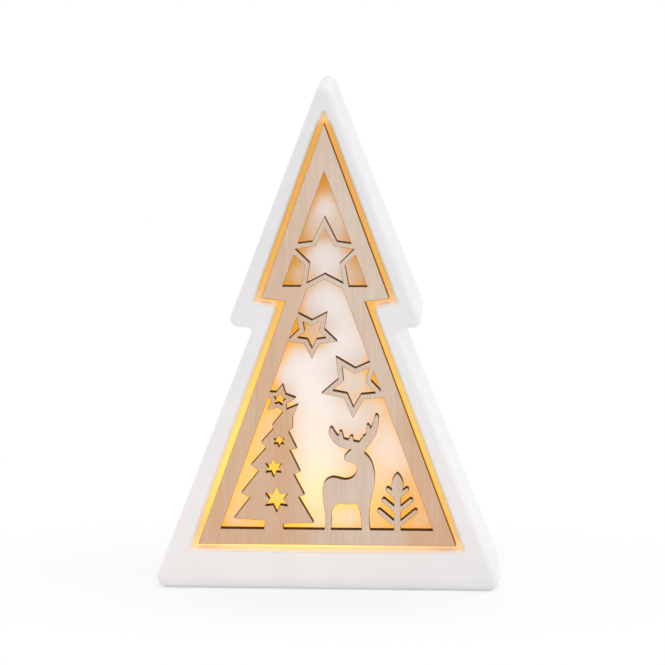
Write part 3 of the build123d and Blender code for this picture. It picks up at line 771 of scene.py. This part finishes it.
class TREE_OT_cells(bpy.types.Operator):
    """Give the three cells their plain jackets"""
    bl_idname = "tree.cells"
    bl_label = "Cells"

    def execute(self, context):
        for node, positive_side in (("battery_1", 1), ("battery_2", -1), ("battery_3", 1)):
            dress(cell_finish(node, positive_side), node)
        return {"FINISHED"}


def plated(name, brushing):
    """Plated metal whose gloss follows a fine brushing, with the height of the brushing."""
    finish, graph, shader = new_finish(name)
    x, y, z = graph.split(graph.place())
    brushed = graph.noise(graph.join(graph.math("MULTIPLY", x, brushing),
                                     graph.math("MULTIPLY", y, brushing * 0.05),
                                     graph.math("MULTIPLY", z, brushing)), 1.0, 3.0)
    shader["Metallic"].default_value = 1.0
    graph.feed(shader["Roughness"], graph.span(brushed, 0.20, 0.42))
    return finish, graph, shader, brushed


class TREE_OT_contacts(bpy.types.Operator):
    """Give the sheet contacts their nickel plating"""
    bl_idname = "tree.contacts"
    bl_label = "Cell Contacts"

    def execute(self, context):
        look = settings("tree_light_unit")
        finish, graph, shader, brushed = plated("nickel_sheet", 2600.0)
        grain = graph.use(grain_effect(), place=graph.place(), size=0.0012, cloud_size=0.006)
        spots = graph.math("MULTIPLY", grain["Cloud"], 0.6)
        graph.feed(shader["Base Color"], graph.mix(spots, look.nickel, look.tarnish))
        graph.feed(shader["Normal"], bumped(graph, brushed, 0.00003, 0.3))
        dress(finish, "negative_contact", "positive_contact", "bridge_contact_left", "bridge_contact_right")
        return {"FINISHED"}


class TREE_OT_switch(bpy.types.Operator):
    """Give the slide switch its black plastic"""
    bl_idname = "tree.switch"
    bl_label = "Slide Switch"

    def execute(self, context):
        look = settings("tree_light_unit")
        finish = moulded("black_switch_plastic", look.black, (0.028, 0.028, 0.030), 0.0004, 0.42, 0.0003)
        dress(finish, "switch_body", "switch_knob")
        return {"FINISHED"}


class TREE_OT_lamp_board(bpy.types.Operator):
    """Give the lamp board, its lamps, resistor and screws their finishes"""
    bl_idname = "tree.lamp_board"
    bl_label = "Lamp Board"

    def execute(self, context):
        look = settings("tree_light_unit")
        self.board(look)
        self.lamps(look)
        self.resistor(look)
        self.screws(look)
        return {"FINISHED"}

    def board(self, look):
        """Green board with traces and a bare edge."""
        finish, graph, shader = new_finish("green_lamp_board")
        place = graph.place()
        parts = graph.split(place)
        grain = graph.use(grain_effect(), place=place, size=0.0005, cloud_size=0.009)
        low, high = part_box("circuit_board")
        lines = graph.math("PINGPONG", graph.math("SUBTRACT", parts["Z"], low.z), TRACE_PITCH)
        trace = graph.ease(lines, *TRACE_LIMITS)
        inner = between(graph, parts["X"], low.x + TRACE_END, high.x - TRACE_END, 0.0002)
        green = graph.mix(graph.math("MULTIPLY", trace, inner), look.resist, look.trace)
        facing = graph.split(graph.add("ShaderNodeNewGeometry").outputs["Normal"])["Y"]
        rim = graph.ease(graph.math("ABSOLUTE", facing), 0.7, 0.4)
        edge = graph.mix(grain["Cloud"], look.laminate, (0.38, 0.32, 0.16))
        graph.feed(shader["Base Color"], graph.mix(rim, green, edge))
        gloss = graph.span(grain["Height"], 0.26, 0.36)
        graph.feed(shader["Roughness"], graph.math("MULTIPLY_ADD", rim, 0.4, gloss))
        graph.feed(shader["Normal"], bumped(graph, graph.math("ADD", trace, grain["Height"]), 0.00004, 0.4))
        dress(finish, "circuit_board")

    def lamps(self, look):
        """Warm epoxy with a hot core."""
        finish, graph, shader = new_finish("warm_lamp_epoxy")
        place = graph.place()
        grain = graph.use(grain_effect(), place=place, size=0.0007, cloud_size=0.003)
        tip = graph.ease(graph.split(place)["Y"], lamp_high.y, lamp_low.y)
        graph.feed(shader["Base Color"], graph.mix(grain["Cloud"], look.lamp, (0.95, 0.62, 0.26)))
        graph.feed(shader["Roughness"], graph.span(grain["Height"], 0.12, 0.22))
        graph.feed(shader["Emission Color"], graph.scaled(look.lamp_light, graph.span(tip, 0.35, 1.0)))
        shader["Emission Strength"].default_value = 1.0
        dress(finish, "leds")

    def resistor(self, look):
        """Lacquered body with plain rings and tinned leads."""
        finish, graph, shader = new_finish("lacquered_resistor")
        place = graph.place()
        along = graph.split(place)["X"]
        grain = graph.use(grain_effect(), place=place, size=0.0004, cloud_size=0.002)
        body = between(graph, along, -RESISTOR_HALF, RESISTOR_HALF, 0.00002)
        tint = graph.mix(graph.math("MULTIPLY", grain["Cloud"], 0.3), look.coat, (0.42, 0.30, 0.16))
        for centre, ring in RESISTOR_RINGS:
            stripe = between(graph, along, centre - RING_HALF, centre + RING_HALF, 0.00005)
            tint = graph.mix(stripe, tint, ring)
        graph.feed(shader["Base Color"], graph.mix(body, look.steel, tint))
        graph.feed(shader["Metallic"], graph.math("SUBTRACT", 1.0, body))
        graph.feed(shader["Roughness"], graph.span(grain["Height"], 0.28, 0.42))
        graph.feed(shader["Normal"], bumped(graph, grain["Height"], 0.00003, 0.4))
        dress(finish, "resistor")

    def screws(self, look):
        """Zinc screws with a cross recess in the head, painted dark as shade."""
        finish, graph, shader = plated("zinc_screw", 3200.0)[:3]
        x, y, z = graph.split(graph.place())
        low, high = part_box("board_screws")
        head = (high.z - low.z) / 2
        level = (low.z + high.z) / 2
        across = graph.math("ABSOLUTE", graph.math("SUBTRACT", graph.math("ABSOLUTE", x), high.x - head))
        along = graph.math("ABSOLUTE", graph.math("SUBTRACT", z, level))
        narrow = graph.ease(graph.math("MINIMUM", across, along), *CROSS_WIDTH)
        short = graph.ease(graph.math("MAXIMUM", across, along), *CROSS_LENGTH)
        top = graph.ease(graph.math("SUBTRACT", y, low.y), *CROSS_DEPTH)
        cross = graph.math("MULTIPLY", graph.math("MULTIPLY", narrow, short), top)
        # Painted shade: the cross recess is coloured near black.
        graph.feed(shader["Base Color"], graph.mix(cross, look.steel, (0.05, 0.05, 0.05)))
        graph.feed(shader["Normal"], bumped(graph, graph.math("SUBTRACT", 1.0, cross), 0.0004, 0.8))
        dress(finish, "board_screws")


class TREE_OT_wires(bpy.types.Operator):
    """Give the three wires their soft covers"""
    bl_idname = "tree.wires"
    bl_label = "Wires"

    def execute(self, context):
        look = settings("tree_wires")
        for node, tint in (("red_wire", look.red), ("black_wire", look.black), ("white_wire", look.white)):
            finish, graph, shader = new_finish(f"soft_cover_{node}")
            grain = graph.use(grain_effect(), place=graph.place(), size=0.0005, cloud_size=0.004)
            dusty = tuple(part * 0.86 + 0.012 for part in tint)
            graph.feed(shader["Base Color"], graph.mix(grain["Cloud"], tint, dusty))
            graph.feed(shader["Roughness"], graph.span(grain["Height"], 0.36, 0.52))
            graph.feed(shader["Normal"], bumped(graph, grain["Height"], 0.00003, 0.3))
            dress(finish, node)
        return {"FINISHED"}


class TREE_OT_stage(bpy.types.Operator):
    """Build the floor, the soft light and the camera"""
    bl_idname = "tree.stage"
    bl_label = "Studio Stage"

    def execute(self, context):
        look = settings("tree_stage")
        self.floor(context, look)
        self.sky(context, look)
        for name, place, width, setting in SOFTBOXES:
            self.softbox(context, name, place, width, getattr(look, setting))
        self.camera(context, look)
        context.scene.view_settings.view_transform = "Standard"
        return {"FINISHED"}

    def floor(self, context, look):
        """Wide sheet of pale paper."""
        mesh = bpy.data.meshes.new("paper_floor")
        sheet = bmesh.new()
        bmesh.ops.create_grid(sheet, x_segments=8, y_segments=8, size=FLOOR_HALF)
        sheet.to_mesh(mesh)
        sheet.free()
        floor = bpy.data.objects.new("paper_floor", mesh)
        context.scene.collection.objects.link(floor)
        finish, graph, shader = new_finish("pale_paper")
        place = graph.place()
        grain = graph.use(grain_effect(), place=place, size=0.003, cloud_size=0.2)
        greyer = tuple(part * 0.985 for part in look.floor)
        graph.feed(shader["Base Color"], graph.mix(grain["Cloud"], look.floor, greyer))
        graph.feed(shader["Roughness"], graph.span(grain["Height"], 0.85, 0.95))
        shader["Specular IOR Level"].default_value = 0.0
        white = graph.add("ShaderNodeEmission")
        away = graph.vector("LENGTH", graph.vector("MULTIPLY", place, SHADOW_STRETCH))
        far = graph.ease(away, *SHADOW_LIMITS)
        camera_ray = graph.add("ShaderNodeLightPath").outputs["Is Camera Ray"]
        paper = shader["Base Color"].node.outputs[0]
        surface = paper.links[0].to_socket
        mixed = graph.add("ShaderNodeMixShader")
        graph.feed(mixed.inputs[0], graph.math("MULTIPLY", camera_ray, graph.span(far, SHADOW_WHITE, 1.0)))
        graph.feed(mixed.inputs[1], paper)
        graph.feed(mixed.inputs[2], white.outputs[0])
        graph.feed(surface, mixed.outputs[0])
        mesh.materials.append(finish)

    def sky(self, context, look):
        """Even white light, and plain white where the camera, gloss or glass sees it."""
        world = bpy.data.worlds.new("white_studio")
        context.scene.world = world
        world.use_nodes = True
        world.node_tree.nodes.clear()
        graph = Graph(world.node_tree)
        path = graph.add("ShaderNodeLightPath").outputs
        seen = graph.math("MAXIMUM", path["Is Camera Ray"],
                          graph.math("MAXIMUM", path["Is Glossy Ray"], path["Is Transmission Ray"]))
        light = graph.add("ShaderNodeBackground")
        light.inputs["Strength"].default_value = look.sky
        white = graph.add("ShaderNodeBackground")
        for node in (light, white):
            node.inputs["Color"].default_value = (1.0, 1.0, 1.0, 1.0)
        mixed = graph.add("ShaderNodeMixShader")
        graph.feed(mixed.inputs[0], seen)
        graph.feed(mixed.inputs[1], light.outputs[0])
        graph.feed(mixed.inputs[2], white.outputs[0])
        graph.feed(graph.add("ShaderNodeOutputWorld").inputs["Surface"], mixed.outputs[0])

    def softbox(self, context, name, place, width, energy):
        """Square soft light that faces the piece."""
        lamp = bpy.data.lights.new(name, "AREA")
        lamp.shape = "SQUARE"
        lamp.size = width
        lamp.energy = energy
        box = bpy.data.objects.new(name, lamp)
        box.location = place
        box.rotation_euler = (Vector(SOFTBOX_AIM) - Vector(place)).to_track_quat("-Z", "Y").to_euler()
        context.scene.collection.objects.link(box)

    def camera(self, context, look):
        """Camera at the viewing angle."""
        data = bpy.data.cameras.new("front_camera")
        data.lens = look.lens
        data.sensor_width = SENSOR_WIDTH
        camera = bpy.data.objects.new("front_camera", data)
        eye, aim = Vector(look.eye), Vector(look.aim)
        turn = (aim - eye).to_track_quat("-Z", "Y").to_matrix() @ Matrix.Rotation(look.roll, 3, "Z")
        camera.location = eye
        camera.rotation_euler = turn.to_euler()
        context.scene.collection.objects.link(camera)
        context.scene.camera = camera


class TREE_PT_panel(bpy.types.Panel):
    """Finishes and stage of the porcelain tree"""
    bl_idname = "TREE_PT_panel"
    bl_label = "Porcelain Tree"
    bl_space_type = "VIEW_3D"
    bl_region_type = "UI"
    bl_category = "Porcelain Tree"

    def draw(self, context):
        for operator in OPERATORS:
            self.layout.operator(operator.bl_idname)
        for name in SETTINGS:
            group = getattr(context.scene, name)
            box = self.layout.box()
            for prop in group.bl_rna.properties:
                if prop.identifier not in {"rna_type", "name"}:
                    box.prop(group, prop.identifier)


SETTINGS = {
    "tree_porcelain": PorcelainSettings,
    "tree_plywood": PlywoodSettings,
    "tree_light_unit": LightUnitSettings,
    "tree_wires": WireSettings,
    "tree_stage": StageSettings,
}
OPERATORS = (
    TREE_OT_porcelain,
    TREE_OT_panel,
    TREE_OT_pegs,
    TREE_OT_housing,
    TREE_OT_cells,
    TREE_OT_contacts,
    TREE_OT_switch,
    TREE_OT_lamp_board,
    TREE_OT_wires,
    TREE_OT_stage,
)


def register():
    """Adds the settings, the operators and the sidebar panel."""
    for name, group in SETTINGS.items():
        bpy.utils.register_class(group)
        setattr(bpy.types.Scene, name, PointerProperty(type=group))
    for operator in OPERATORS:
        bpy.utils.register_class(operator)
    bpy.utils.register_class(TREE_PT_panel)


def unregister():
    """Takes them away again."""
    bpy.utils.unregister_class(TREE_PT_panel)
    for operator in reversed(OPERATORS):
        bpy.utils.unregister_class(operator)
    for name, group in reversed(SETTINGS.items()):
        delattr(bpy.types.Scene, name)
        bpy.utils.unregister_class(group)


def main():
    """Builds every finish and the stage."""
    register()
    bpy.ops.tree.porcelain()
    bpy.ops.tree.panel()
    bpy.ops.tree.pegs()
    bpy.ops.tree.housing()
    bpy.ops.tree.cells()
    bpy.ops.tree.contacts()
    bpy.ops.tree.switch()
    bpy.ops.tree.lamp_board()
    bpy.ops.tree.wires()
    bpy.ops.tree.stage()


if __name__ == "__main__":
    main()
